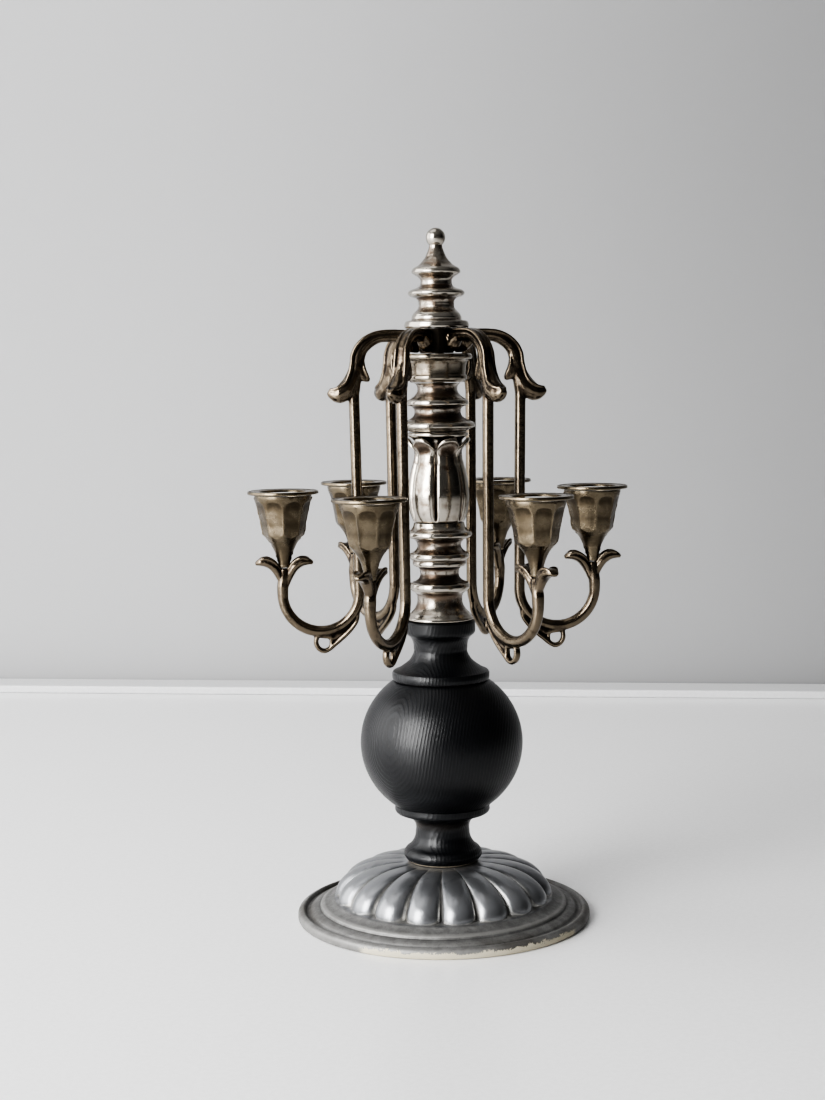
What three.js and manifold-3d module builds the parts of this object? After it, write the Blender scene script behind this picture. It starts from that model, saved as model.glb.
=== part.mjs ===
// A six-light ring candelabra: a lobed metal foot, a turned wood stem, a stack of plated turnings,
// and a crown of six cast arms with a candle cup each, all clamped by one rod down the middle.
// Millimetres, +Z up. The origin is the centre of the foot, on the surface that it stands on.

import * as THREE from 'three';
import { mergeVertices } from 'three/addons/utils/BufferGeometryUtils.js';
import Module from 'manifold-3d';

const wasm = await Module();
wasm.setup();

// ---- Driving dimensions ----

const GAP = 0.3; // between two pieces that rest on each other
const ROD_RADIUS = 3;
const BORE_RADIUS = ROD_RADIUS + GAP;

// Heights of the stacked pieces, from the floor up. With the gaps they add up to 305.
const FOOT_HEIGHT = 25.2;
const STEM_HEIGHT = 107.8;
const LOWER_SPINDLE_HEIGHT = 43.2;
const BALUSTER_HEIGHT = 39.4;
const UPPER_SPINDLE_HEIGHT = 21.1;
const COLLAR_HEIGHT = 12.4;
const HUB_HEIGHT = 10.6;
const FINIAL_HEIGHT = 43.2;

// Foot: a hollow cast shell whose dome is cut into lobes by grooves.
const RIM_RADIUS = 65.3;
const PLATEAU_RADIUS = 17;
const FOOT_WALL = 2.3;
const LOBES = 18;
const LOBE_CREST = { edgeRadius: 47.6, edgeHeight: 11.3, topHeight: FOOT_HEIGHT, fall: 1 };
const LOBE_GROOVE = { edgeRadius: 42.6, edgeHeight: 12.6, topHeight: FOOT_HEIGHT - 0.4, fall: 1.3 };
const FOOT_TURN = THREE.MathUtils.degToRad(-7.3);

// Stem: the ball is a little wider than it is tall.
const BALL_RADIUS = 36.1;
const BALL_HALF_HEIGHT = 34.4;
const BALL_CENTRE = 53.4; // above the stem's own base

// Baluster: six upright leaves with a groove between each two.
const LEAVES = 6;
const BALUSTER_TURN = THREE.MathUtils.degToRad(-12);

// Crown: six arms round a sleeve on the rod.
const ARMS = 6;
const CORE_RADIUS = 7.4;
const ROOT_OUTER_RADIUS = 13.1;
const HANGER_RADIUS = 2.4; // of the long straight rod of each arm
const HOOK_CENTRE = new THREE.Vector2(52.4, 146.6);
const HOOK_RADIUS = 16.9;
const CUP_AXIS = 68.35; // from the centre of the stem
const CUP_BASE = 158.2; // height of the foot of the cup's funnel
const CUP_HEIGHT = 32;
const CUP_PANELS = 8;
const PANEL_DEPTH = 0.7;
const SOCKET_MOUTH = 10.2;
const SOCKET_FLOOR = 6.9;
const SOCKET_DEPTH = 15.5;
const PAN_RADIUS = 15.8;
const PAN_THICKNESS = 1.5;

// ---- Finishes ----

function finish(color, roughness, metalness) {
  return () => new THREE.MeshStandardMaterial({ color, roughness, metalness });
}

const pewter = finish(0x77777a, 0.42, 1);
const brightPlate = finish(0xb9b2a8, 0.18, 1);
const agedNickel = finish(0x6f675b, 0.35, 1);
const blackWood = finish(0x14110f, 0.35, 0);
const steel = finish(0x8a8c8e, 0.45, 1);

// ---- Tools for making shapes ----

// Carries an outline on through a middle point to an end point, along one smooth curve.
function through(path, [midX, midY], [endX, endY]) {
  const { x, y } = path.currentPoint;
  path.quadraticCurveTo(2 * midX - (x + endX) / 2, 2 * midY - (y + endY) / 2, endX, endY);
}

// An outline of radius and height that goes up the outside and closes down the bore.
function boredOutline(startRadius) {
  const path = new THREE.Path();
  path.autoClose = true;
  path.moveTo(BORE_RADIUS, 0);
  path.lineTo(startRadius, 0);
  return path;
}

// Turns an outline about the Z axis.
function turned(outline, segments) {
  return new THREE.LatheGeometry(outline, segments).rotateX(Math.PI / 2);
}

// Turns an outline whose every so many columns follow a second outline, sunk below the first one.
function fluted(crestOutline, grooveOutline, grooves, columnsEach) {
  const segments = grooves * columnsEach;
  const geometry = new THREE.LatheGeometry(crestOutline, segments);
  const position = geometry.attributes.position;
  for (let column = 0; column <= segments; column += columnsEach) {
    const angle = (column / segments) * 2 * Math.PI;
    grooveOutline.forEach((point, row) => {
      const index = column * grooveOutline.length + row;
      position.setXYZ(index, point.x * Math.sin(angle), point.y, point.x * Math.cos(angle));
    });
  }
  return geometry.rotateX(Math.PI / 2);
}

// Reads a size from a list of sizes that are evenly spaced from 0 to 1.
function sizeAt(sizes, along) {
  const place = along * (sizes.length - 1);
  const index = Math.min(Math.floor(place), sizes.length - 2);
  return THREE.MathUtils.lerp(sizes[index], sizes[index + 1], place - index);
}

// A cast bar along a flat curve in the XZ plane. thick is its half size in that plane, wide its half
// size across it, both as lists from the start to the end.
function bar(curve, steps, sides, thick, wide) {
  const geometry = new THREE.CylinderGeometry(1, 1, 1, sides, steps);
  const position = geometry.attributes.position;
  for (let i = 0; i < position.count; i += 1) {
    const along = THREE.MathUtils.clamp(position.getY(i) + 0.5, 0, 1);
    const centre = curve.getPointAt(along);
    const forward = curve.getTangentAt(along);
    const out = position.getX(i) * sizeAt(thick, along);
    const across = position.getZ(i) * sizeAt(wide, along);
    position.setXYZ(i, centre.x - forward.y * out, across, centre.y + forward.x * out);
  }
  return geometry;
}

function smoothCurve(...points) {
  return new THREE.SplineCurve(points.map(([x, y]) => new THREE.Vector2(x, y)));
}

// A plate of even thickness, drawn in the XZ plane and centred on it.
function plate(shape, thickness, curveSegments) {
  const geometry = new THREE.ExtrudeGeometry(shape, { depth: thickness, bevelEnabled: false, curveSegments });
  return geometry.translate(0, 0, -thickness / 2).rotateX(Math.PI / 2);
}

function toSolid(geometry) {
  geometry.deleteAttribute('normal');
  geometry.deleteAttribute('uv');
  const merged = mergeVertices(geometry);
  return new wasm.Manifold(new wasm.Mesh({
    numProp: 3,
    vertProperties: merged.attributes.position.array,
    triVerts: new Uint32Array(merged.index.array),
  }));
}

function toGeometry(manifold) {
  const { vertProperties, triVerts } = manifold.getMesh();
  const geometry = new THREE.BufferGeometry();
  geometry.setAttribute('position', new THREE.BufferAttribute(vertProperties, 3));
  geometry.setIndex(new THREE.BufferAttribute(triVerts, 1));
  geometry.computeVertexNormals();
  return geometry;
}

function mesh(name, geometry, material, height = 0) {
  const piece = new THREE.Mesh(geometry, material());
  piece.name = name;
  piece.position.z = height;
  return piece;
}

// ---- Foot ----

// One point of the dome, from the plateau's edge at 0 to the flange at a right angle.
function domePoint(angle, { edgeRadius, edgeHeight, topHeight, fall }) {
  const radius = PLATEAU_RADIUS + (edgeRadius - PLATEAU_RADIUS) * Math.sin(angle) ** (1 / 1.2);
  const height = edgeHeight + (topHeight - edgeHeight) * Math.cos(angle) ** fall;
  return new THREE.Vector2(radius, height);
}

// Up the rim and the stepped flange, over the dome, and back under the shell.
function footOutline(dome) {
  const rim = [[RIM_RADIUS, 0], [RIM_RADIUS, 3], [63.6, 4.6], [61.2, 4], [59.8, 5], [54.6, 6.3], [53.8, 7.5]];
  const underside = [[52, 5.4], [61.5, 0], [RIM_RADIUS, 0]];
  const angles = [90, 72, 52, 30, 0].map(THREE.MathUtils.degToRad);
  const outer = angles.map((angle) => domePoint(angle, dome));
  const inner = [...angles].reverse().map((angle) => {
    const point = domePoint(angle, dome);
    return new THREE.Vector2(point.x - FOOT_WALL * Math.sin(angle), point.y - FOOT_WALL * Math.cos(angle));
  });
  return [
    ...rim.map(([x, y]) => new THREE.Vector2(x, y)),
    ...outer,
    new THREE.Vector2(BORE_RADIUS, FOOT_HEIGHT),
    new THREE.Vector2(BORE_RADIUS, FOOT_HEIGHT - FOOT_WALL),
    ...inner,
    ...underside.map(([x, y]) => new THREE.Vector2(x, y)),
  ];
}

function makeFoot() {
  const geometry = fluted(footOutline(LOBE_CREST), footOutline(LOBE_GROOVE), LOBES, 2);
  return mesh('foot', geometry.rotateZ(FOOT_TURN), pewter);
}

// ---- Hardware: the rod, with a washer and a nut up inside the hollow foot ----

const WASHER_TOP = FOOT_HEIGHT - 0.4 - FOOT_WALL - GAP;
const WASHER_THICKNESS = 1.5;
const NUT_TOP = WASHER_TOP - WASHER_THICKNESS - GAP;
const NUT_HEIGHT = 5;
const NUT_CORNER_RADIUS = 5.8;
const ROD_END_BELOW_NUT = 2.5;
const FINIAL_THREAD_DEPTH = 14;

function ringOutline(radius, height) {
  const outline = boredOutline(radius);
  outline.lineTo(radius, height);
  outline.lineTo(BORE_RADIUS, height);
  return outline.getPoints(1);
}

function makeWasher() {
  const geometry = turned(ringOutline(9, WASHER_THICKNESS), 16);
  return mesh('foot_washer', geometry, steel, WASHER_TOP - WASHER_THICKNESS);
}

function makeNut() {
  const hexagon = new THREE.Shape();
  for (let corner = 0; corner < 6; corner += 1) {
    const angle = (corner * Math.PI) / 3;
    const point = [NUT_CORNER_RADIUS * Math.cos(angle), NUT_CORNER_RADIUS * Math.sin(angle)];
    if (corner === 0) hexagon.moveTo(...point);
    else hexagon.lineTo(...point);
  }
  hexagon.closePath();
  const bore = new THREE.Path();
  bore.absarc(0, 0, BORE_RADIUS, 0, 2 * Math.PI, true);
  hexagon.holes.push(bore);
  const settings = { depth: NUT_HEIGHT, bevelEnabled: false, curveSegments: 9 };
  const geometry = new THREE.ExtrudeGeometry(hexagon, settings);
  return mesh('foot_nut', geometry, steel, NUT_TOP - NUT_HEIGHT);
}

function makeRod(finialBase) {
  const bottom = NUT_TOP - NUT_HEIGHT - ROD_END_BELOW_NUT;
  const length = finialBase + FINIAL_THREAD_DEPTH - bottom;
  const geometry = new THREE.CylinderGeometry(ROD_RADIUS, ROD_RADIUS, length, 16);
  return mesh('tie_rod', geometry.rotateX(Math.PI / 2), steel, bottom + length / 2);
}

// ---- Turned pieces. Each outline is drawn from the piece's own base. ----

function makeStem(base) {
  const outline = boredOutline(15.8);
  through(outline, [17.3, 3.2], [15.5, 6.4]);
  through(outline, [12.1, 13.7], [15.7, 20.1]);
  outline.lineTo(20.9, 22.6);
  outline.lineTo(21.1, 25.9);
  const low = -Math.acos(21.3 / BALL_RADIUS);
  const high = Math.acos(21 / BALL_RADIUS);
  outline.absellipse(0, BALL_CENTRE, BALL_RADIUS, BALL_HALF_HEIGHT, low, high, false);
  outline.lineTo(21.5, 82);
  outline.lineTo(21.5, 85.4);
  outline.lineTo(16.7, 87.5);
  through(outline, [11.95, 94.9], [15.2, 101.9]);
  outline.lineTo(15.2, STEM_HEIGHT);
  outline.lineTo(BORE_RADIUS, STEM_HEIGHT);
  return mesh('wood_stem', turned(outline.getPoints(4), 24), blackWood, base);
}

function makeLowerSpindle(base) {
  const outline = boredOutline(14.4);
  outline.lineTo(14.4, 0.9);
  outline.lineTo(13.5, 2.9);
  through(outline, [9.9, 9.7], [12.4, 13]);
  through(outline, [13.2, 14.7], [12.3, 16.4]);
  through(outline, [8.6, 21.4], [11.7, 24.1]);
  outline.lineTo(11.7, 26.3);
  through(outline, [13.2, 28.1], [12.6, 29.6]);
  through(outline, [9.6, 33.6], [13.2, 36.5]);
  through(outline, [14.5, 38.1], [13.4, 39.3]);
  outline.lineTo(11, LOWER_SPINDLE_HEIGHT);
  outline.lineTo(BORE_RADIUS, LOWER_SPINDLE_HEIGHT);
  return mesh('lower_spindle', turned(outline.getPoints(2), 24), brightPlate, base);
}

// The leaf is drawn with no sinking, and the groove between two leaves is sunk all the way up.
function balusterOutline(sunk, tipSunk) {
  const outline = boredOutline(11);
  const side = [[11.9, 1.9], [13.3, 7], [13.3, 13.5], [12.2, 21], [10.5, 29.4]];
  outline.splineThru(side.map(([x, y]) => new THREE.Vector2(x - sunk, y)));
  outline.lineTo(13.9 - tipSunk, 35.4);
  outline.lineTo(13.4 - tipSunk / 3, 38.2);
  outline.lineTo(12.7, BALUSTER_HEIGHT);
  outline.lineTo(BORE_RADIUS, BALUSTER_HEIGHT);
  return outline.getPoints(1);
}

function makeBaluster(base) {
  const geometry = fluted(balusterOutline(0, 0), balusterOutline(0.9, 1.8), LEAVES, 5);
  return mesh('leaf_baluster', geometry.rotateZ(BALUSTER_TURN), brightPlate, base);
}

function makeUpperSpindle(base) {
  const outline = boredOutline(12.7);
  through(outline, [16.2, 2.6], [13.4, 5.2]);
  through(outline, [10.2, 8.6], [12.7, 11.2]);
  through(outline, [13.7, 12.7], [12, 14.4]);
  through(outline, [8.75, 18.4], [10.4, UPPER_SPINDLE_HEIGHT]);
  outline.lineTo(BORE_RADIUS, UPPER_SPINDLE_HEIGHT);
  return mesh('upper_spindle', turned(outline.getPoints(2), 24), brightPlate, base);
}

function makeCollar(base) {
  const outline = boredOutline(11.8);
  through(outline, [12.9, 2.4], [12.5, 4.2]);
  through(outline, [12.8, 7.6], [14.9, 10.4]);
  outline.lineTo(15.3, 11.2);
  outline.lineTo(14.9, COLLAR_HEIGHT);
  outline.lineTo(BORE_RADIUS, COLLAR_HEIGHT);
  return mesh('arm_collar', turned(outline.getPoints(2), 24), brightPlate, base);
}

// The finial is blind: it screws down on the end of the rod, and a ball tops it.
function makeFinial(base) {
  const outline = new THREE.Path();
  const boreDepth = FINIAL_THREAD_DEPTH + 1;
  outline.moveTo(0, boreDepth);
  outline.lineTo(BORE_RADIUS, boreDepth);
  outline.lineTo(BORE_RADIUS, 0);
  outline.lineTo(14.3, 0);
  through(outline, [13.8, 2.5], [12.2, 4]);
  outline.lineTo(10.9, 4.8);
  through(outline, [7.9, 10.1], [10.7, 14.2]);
  through(outline, [12.3, 15.5], [10, 17]);
  through(outline, [7.1, 20.2], [8.9, 23.2]);
  through(outline, [10.7, 24.7], [9.8, 26]);
  through(outline, [5.6, 29.3], [3.1, 34.6]);
  const ballRadius = 4.25;
  outline.absarc(0, FINIAL_HEIGHT - ballRadius, ballRadius, -0.8, Math.PI / 2, false);
  return mesh('finial', turned(outline.getPoints(2), 20), brightPlate, base);
}

// ---- Crown: the core sleeve and one arm, drawn in the XZ plane with +X away from the stem ----

function makeCore(base) {
  return mesh('hub_core', turned(ringOutline(CORE_RADIUS, HUB_HEIGHT), 16), agedNickel, base);
}

// A wedge that fills most of the arm's share of the hub.
function armRoot(base) {
  const inner = CORE_RADIUS + GAP;
  const wedge = new THREE.Shape();
  wedge.moveTo(inner, -2.2);
  wedge.lineTo(ROOT_OUTER_RADIUS, -4.3);
  wedge.lineTo(ROOT_OUTER_RADIUS, 4.3);
  wedge.lineTo(inner, 2.2);
  wedge.closePath();
  const geometry = new THREE.ExtrudeGeometry(wedge, { depth: HUB_HEIGHT, bevelEnabled: false });
  return geometry.translate(0, 0, base);
}

function armArch() {
  const points = [[10, 258.5], [23, 258.5], [29.2, 256.7], [33.4, 252.7], [35.1, 246.4], [36.3, 238]];
  const line = smoothCurve(...points);
  return bar(line, 7, 6, [2.8, 2.8, 3.2, 3.2, 3.2, 3], [2.7, 2.7, 2.9, 2.9, 3, 2.6]);
}

function archLeaf() {
  const line = smoothCurve([35.2, 246], [37.5, 238.5], [41, 233.7], [45, 233.5], [48, 234.9]);
  return bar(line, 5, 6, [3, 3.8, 4.4, 3.2, 0.8], [2.6, 3.2, 4, 3.8, 1.6]);
}

function archBarb() {
  const line = smoothCurve([34.8, 248], [33.4, 242.6], [31.6, 240.3], [29.3, 239.6]);
  return bar(line, 3, 6, [2.8, 2.6, 1.7, 0.5], [2.4, 2.6, 2.2, 0.8]);
}

// The hanging rod, the hook and the limb are all of one thickness.
function roundBar(curve, steps) {
  const radius = [HANGER_RADIUS, HANGER_RADIUS];
  return bar(curve, steps, 6, radius, radius);
}

function armHanger() {
  const top = new THREE.Vector2(36.7, 238);
  const bottom = new THREE.Vector2(35.5, HOOK_CENTRE.y - 0.5);
  const line = new THREE.LineCurve(top, bottom);
  return roundBar(line, 1);
}

// The hook is a half turn under the cup, and the short limb that rises from it to the cup's leaves.
function armHook() {
  const { x, y } = HOOK_CENTRE;
  const round = new THREE.EllipseCurve(x, y, HOOK_RADIUS, HOOK_RADIUS, Math.PI, 2 * Math.PI);
  return roundBar(round, 8);
}

function armLimb() {
  const foot = new THREE.Vector2(HOOK_CENTRE.x + HOOK_RADIUS, HOOK_CENTRE.y - 0.5);
  const head = new THREE.Vector2(CUP_AXIS, CUP_BASE - GAP);
  return roundBar(new THREE.LineCurve(foot, head), 1);
}

function cupLeaf(side) {
  const place = ([out, height]) => [CUP_AXIS + side * out, height];
  const points = [[0.5, 151.5], [2.7, 156.4], [6.3, 160.1], [10, 160.9], [12.6, 160]];
  const line = smoothCurve(...points.map(place));
  return bar(line, 5, 6, [1.8, 2, 2.3, 1.9, 0.8], [2, 2.6, 3.4, 3.4, 1.6]);
}

// A flat drop-shaped loop under the hook, with a small eye and a tail that runs up beside the rod.
function hangingLoop() {
  const { x, y } = HOOK_CENTRE;
  const drop = new THREE.Shape();
  const startAngle = THREE.MathUtils.degToRad(206);
  const endAngle = THREE.MathUtils.degToRad(-74);
  drop.moveTo(x + HOOK_RADIUS * Math.cos(startAngle), y + HOOK_RADIUS * Math.sin(startAngle));
  drop.splineThru([[36, 134.5], [40.6, 127.7], [45, 123.5], [49.4, 120.3], [52.6, 119.8], [56.2, 124.6]]
    .map(([r, z]) => new THREE.Vector2(r, z)));
  drop.absarc(x, y, HOOK_RADIUS, endAngle, startAngle - 2 * Math.PI, true);
  const eye = new THREE.Path();
  eye.absarc(51.3, 124, 1.6, 0, 2 * Math.PI, true);
  drop.holes.push(eye);
  return plate(drop, 3.6, 1);
}

// The hollow that the cup's funnel stands in, cut from the two leaves.
function funnelRoom() {
  const room = new THREE.CylinderGeometry(3.9, 2.9, 6, 10);
  return room.rotateX(Math.PI / 2).translate(CUP_AXIS, 0, CUP_BASE - GAP + 3);
}

function makeArmGeometry(base) {
  const castings = [
    armRoot(base), armArch(), archLeaf(), archBarb(), armHanger(), armHook(),
    armLimb(), cupLeaf(1), cupLeaf(-1), hangingLoop(),
  ];
  const joined = castings.map(toSolid).reduce((whole, piece) => whole.add(piece));
  return toGeometry(joined.subtract(toSolid(funnelRoom())));
}

function cupOutline(sunk) {
  const outline = new THREE.Path();
  outline.moveTo(0, 0);
  outline.lineTo(2.5, 0);
  outline.lineTo(2.9, 3.5);
  through(outline, [5.3, 10.3], [8.4 - sunk / 2, 14.6]);
  outline.lineTo(9.6 - sunk, 18.6);
  outline.lineTo(11.6 - sunk, 28.4);
  outline.lineTo(12.5, CUP_HEIGHT);
  outline.lineTo(SOCKET_MOUTH, CUP_HEIGHT);
  outline.lineTo(SOCKET_FLOOR, CUP_HEIGHT - SOCKET_DEPTH);
  outline.lineTo(0, CUP_HEIGHT - SOCKET_DEPTH);
  return outline.getPoints(2);
}

function panOutline() {
  const hole = SOCKET_MOUTH + 0.2;
  const edge = PAN_RADIUS - 0.4;
  const outline = [
    [hole, 0], [edge, 0], [PAN_RADIUS, PAN_THICKNESS / 2],
    [edge, PAN_THICKNESS], [hole, PAN_THICKNESS], [hole, 0],
  ];
  return outline.map(([x, y]) => new THREE.Vector2(x, y));
}

function makeCrown(base) {
  const crown = new THREE.Group();
  crown.add(makeCore(base));
  const armGeometry = makeArmGeometry(base);
  const cupGeometry = fluted(cupOutline(PANEL_DEPTH), cupOutline(0), CUP_PANELS, 2);
  const panGeometry = turned(panOutline(), 16);
  for (let number = 1; number <= ARMS; number += 1) {
    const branch = new THREE.Group();
    branch.rotation.z = ((number - 1) / ARMS) * 2 * Math.PI;
    branch.add(mesh(`arm_${number}`, armGeometry, agedNickel));
    const cup = mesh(`candle_cup_${number}`, cupGeometry, agedNickel, CUP_BASE);
    const pan = mesh(`drip_pan_${number}`, panGeometry, agedNickel, CUP_BASE + CUP_HEIGHT + GAP);
    cup.position.x = CUP_AXIS;
    pan.position.x = CUP_AXIS;
    branch.add(cup, pan);
    crown.add(branch);
  }
  return crown;
}

// ---- The whole candelabra, stacked from the floor up ----

const candelabra = new THREE.Group();
candelabra.add(makeFoot(), makeWasher(), makeNut());

const stemBase = FOOT_HEIGHT + GAP;
const lowerSpindleBase = stemBase + STEM_HEIGHT + GAP;
const balusterBase = lowerSpindleBase + LOWER_SPINDLE_HEIGHT + GAP;
const upperSpindleBase = balusterBase + BALUSTER_HEIGHT + GAP;
const collarBase = upperSpindleBase + UPPER_SPINDLE_HEIGHT + GAP;
const hubBase = collarBase + COLLAR_HEIGHT + GAP;
const finialBase = hubBase + HUB_HEIGHT + GAP;

candelabra.add(makeStem(stemBase));
candelabra.add(makeLowerSpindle(lowerSpindleBase));
candelabra.add(makeBaluster(balusterBase));
candelabra.add(makeUpperSpindle(upperSpindleBase));
candelabra.add(makeCollar(collarBase));
candelabra.add(makeCrown(hubBase));
candelabra.add(makeFinial(finialBase));
candelabra.add(makeRod(finialBase));

export default candelabra;
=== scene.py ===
# %% [markdown]
# # A ring candelabra with six candle cups
#
# The object stands about 30 cm high. From the table up it is a lobed cast foot, a black turned wood
# stem, a stack of plated turnings, and a crown of six cast arms with a candle cup each.
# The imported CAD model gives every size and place. This lesson gives it its looks: each piece is
# modelled again with a finer surface, and gets a finish built from nodes.

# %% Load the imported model
import math
import bpy
import numpy as np
from mathutils import Matrix, Vector, noise


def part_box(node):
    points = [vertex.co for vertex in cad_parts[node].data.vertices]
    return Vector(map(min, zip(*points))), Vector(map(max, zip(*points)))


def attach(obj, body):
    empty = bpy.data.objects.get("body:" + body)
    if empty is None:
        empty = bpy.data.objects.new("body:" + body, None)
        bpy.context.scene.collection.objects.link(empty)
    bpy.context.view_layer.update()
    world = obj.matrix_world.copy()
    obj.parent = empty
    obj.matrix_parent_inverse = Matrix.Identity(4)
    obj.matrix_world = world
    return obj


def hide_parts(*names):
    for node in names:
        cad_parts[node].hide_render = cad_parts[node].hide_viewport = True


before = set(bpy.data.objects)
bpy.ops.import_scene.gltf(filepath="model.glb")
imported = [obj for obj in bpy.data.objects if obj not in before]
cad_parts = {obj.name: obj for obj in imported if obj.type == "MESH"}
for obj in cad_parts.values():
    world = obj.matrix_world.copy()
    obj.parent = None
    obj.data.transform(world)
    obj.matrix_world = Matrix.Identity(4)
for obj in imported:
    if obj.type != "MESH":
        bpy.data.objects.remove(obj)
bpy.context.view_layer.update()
MM = 0.001

# %% [markdown]
# ## The camera comes first
#
# The camera stands a little above the candle cups and looks slightly down, from about 80 cm away.
# It is turned a few degrees, so the arms are not seen square on.

# %% Camera
CAMERA_TURN = math.radians(-4.8)
CAMERA_PITCH = math.radians(84.45)
CAMERA_ROLL = math.radians(-0.78)
CAMERA_PLACE = Vector((-0.0788, -0.7971, 0.2425))
LENS = 59.7
SENSOR = 36


def add_camera():
    bpy.ops.object.camera_add(location=CAMERA_PLACE)
    camera = bpy.context.object
    camera.name = "table_camera"
    looking = Matrix.Rotation(CAMERA_TURN, 3, "Z") @ Matrix.Rotation(CAMERA_PITCH, 3, "X")
    looking = looking @ Matrix.Rotation(CAMERA_ROLL, 3, "Z")
    camera.rotation_euler = looking.to_euler()
    camera.data.lens = LENS
    camera.data.sensor_width = SENSOR
    bpy.context.scene.camera = camera
    bpy.context.scene.view_settings.look = "AgX - High Contrast"
    return camera


print("made", add_camera().name)

# %% [markdown]
# ## Small helpers
#
# An operator acts on everything that is selected, so each step starts with nothing selected.
# Outlines of turned pieces are lists of (radius, height) in millimetres. An entry that holds two
# points is a curve: it passes through the first and ends at the second.

# %% Selection and finishing helpers
def drop_selection():
    if bpy.context.mode != "OBJECT":
        bpy.ops.object.mode_set(mode="OBJECT")
    bpy.ops.object.select_all(action="DESELECT")


def activate(piece):
    drop_selection()
    piece.select_set(True)
    bpy.context.view_layer.objects.active = piece


def edit_all(piece):
    """Opens the mesh with everything selected."""
    activate(piece)
    bpy.ops.object.mode_set(mode="EDIT")
    bpy.ops.mesh.select_all(action="SELECT")


def name_new_piece(name):
    piece = bpy.context.object
    piece.name = name
    piece.data.name = name
    return piece


def turn_selection(angle, axis, centre=(0, 0, 0)):
    """Turns what is selected. With no window the operator turns the other way, hence the minus."""
    bpy.ops.transform.rotate(value=-angle, orient_axis=axis, center_override=centre)


def turn_upright(piece, angle):
    """Turns a whole mesh about the stem's axis."""
    edit_all(piece)
    turn_selection(angle, "Z")
    bpy.ops.object.mode_set(mode="OBJECT")


def add_modifier(piece, kind, **settings):
    """Adds a modifier with these settings and applies it."""
    activate(piece)
    modifier = piece.modifiers.new(kind.lower(), kind)
    for setting, value in settings.items():
        setattr(modifier, setting, value)
    bpy.ops.object.modifier_apply(modifier=modifier.name)


def tidy_mesh(piece, merge=0.00001):
    """Merges doubles and makes the faces point outwards."""
    edit_all(piece)
    bpy.ops.mesh.remove_doubles(threshold=merge)
    bpy.ops.mesh.normals_make_consistent(inside=False)
    bpy.ops.object.mode_set(mode="OBJECT")


def smooth_shading(piece, angle=40):
    activate(piece)
    bpy.ops.object.shade_smooth_by_angle(angle=math.radians(angle))
    print(f"{piece.name}: {len(piece.data.polygons)} faces")


# %% Outlines and turning
def curve_through(start, middle, end, steps):
    """Points along one smooth curve from start through middle to end, without the start."""
    points = []
    for step in range(1, steps + 1):
        t = step / steps
        ends = [(1 - t) * a + t * b for a, b in zip(start, end)]
        pull = [2 * m - a - b for a, m, b in zip(start, middle, end)]
        points.append(tuple(e + 2 * t * (1 - t) * p for e, p in zip(ends, pull)))
    return points


def expand(outline, steps=9):
    points = [outline[0]]
    for entry in outline[1:]:
        if isinstance(entry[0], tuple):
            points += curve_through(points[-1], entry[0], entry[1], steps)
        else:
            points.append(entry)
    return points


def turn(name, outline, base, columns=96, bevel=0.18):
    """Draws the outline by extruding a point, and spins it about the stem's axis."""
    points = expand(outline)
    drop_selection()
    bpy.ops.mesh.primitive_plane_add(size=0.01)
    piece = name_new_piece(name)
    bpy.ops.object.mode_set(mode="EDIT")
    bpy.ops.mesh.merge(type="CENTER")
    bpy.ops.transform.translate(value=(points[0][0] * MM, 0, (base + points[0][1]) * MM))
    for (r0, z0), (r1, z1) in zip(points, points[1:]):
        step = ((r1 - r0) * MM, 0, (z1 - z0) * MM)
        bpy.ops.mesh.extrude_region_move(TRANSFORM_OT_translate={"value": step})
    bpy.ops.mesh.select_all(action="SELECT")
    bpy.ops.mesh.spin(steps=columns, angle=2 * math.pi, center=(0, 0, 0), axis=(0, 0, 1))
    tidy_mesh(piece)
    if bevel:
        add_modifier(piece, "BEVEL", width=bevel * MM, segments=2, angle_limit=math.radians(30))
    return piece


def off_middle(azimuth, count):
    """With count lobes, leaves or panels in a round: 0 in the middle of one and 1 at its edge."""
    return abs((azimuth * count / (2 * math.pi)) % 1 * 2 - 1)


def reshape(piece, base, shape):
    """Moves each point of a turned piece. shape is given its azimuth from the front, its radius and
    its height over the base, and returns a new radius and height, or None to leave it."""
    for vertex in piece.data.vertices:
        radius = math.hypot(vertex.co.x, vertex.co.y) / MM
        moved = shape(math.atan2(vertex.co.x, -vertex.co.y), radius, vertex.co.z / MM - base)
        if moved:
            vertex.co.x *= moved[0] / radius
            vertex.co.y *= moved[0] / radius
            vertex.co.z = (base + moved[1]) * MM


# %% [markdown]
# ## Relief marks for the finishes
#
# Tarnish and dirt gather in hollows, and handling wears the edges bright. Each metal mesh is
# compared with a smoothed copy of itself: a point that lies inside the smoothed surface is in a
# hollow, and one that lies outside it is on an edge. The result is kept as a point attribute.

# %% Relief attribute
def mark_relief(piece, rounds=14, reach=0.35):
    mesh = piece.data
    count = len(mesh.vertices)
    place = np.empty(count * 3)
    mesh.vertices.foreach_get("co", place)
    place = place.reshape(-1, 3)
    normal = np.empty(count * 3)
    mesh.vertices.foreach_get("normal", normal)
    normal = normal.reshape(-1, 3)
    ends = np.empty(len(mesh.edges) * 2, dtype=np.int64)
    mesh.edges.foreach_get("vertices", ends)
    first, second = ends[0::2], ends[1::2]
    neighbours = np.maximum(np.bincount(ends, minlength=count), 1)
    smooth = place.copy()
    for _ in range(rounds):
        total = np.zeros_like(smooth)
        for axis in range(3):
            total[:, axis] += np.bincount(first, weights=smooth[second, axis], minlength=count)
            total[:, axis] += np.bincount(second, weights=smooth[first, axis], minlength=count)
        smooth = total / neighbours[:, None]
    depth = ((smooth - place) * normal).sum(axis=1) / (reach * MM)
    attribute = mesh.attributes.new("relief", "FLOAT", "POINT")
    attribute.data.foreach_set("value", np.clip(depth, -1, 1).astype(np.float32))


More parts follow.
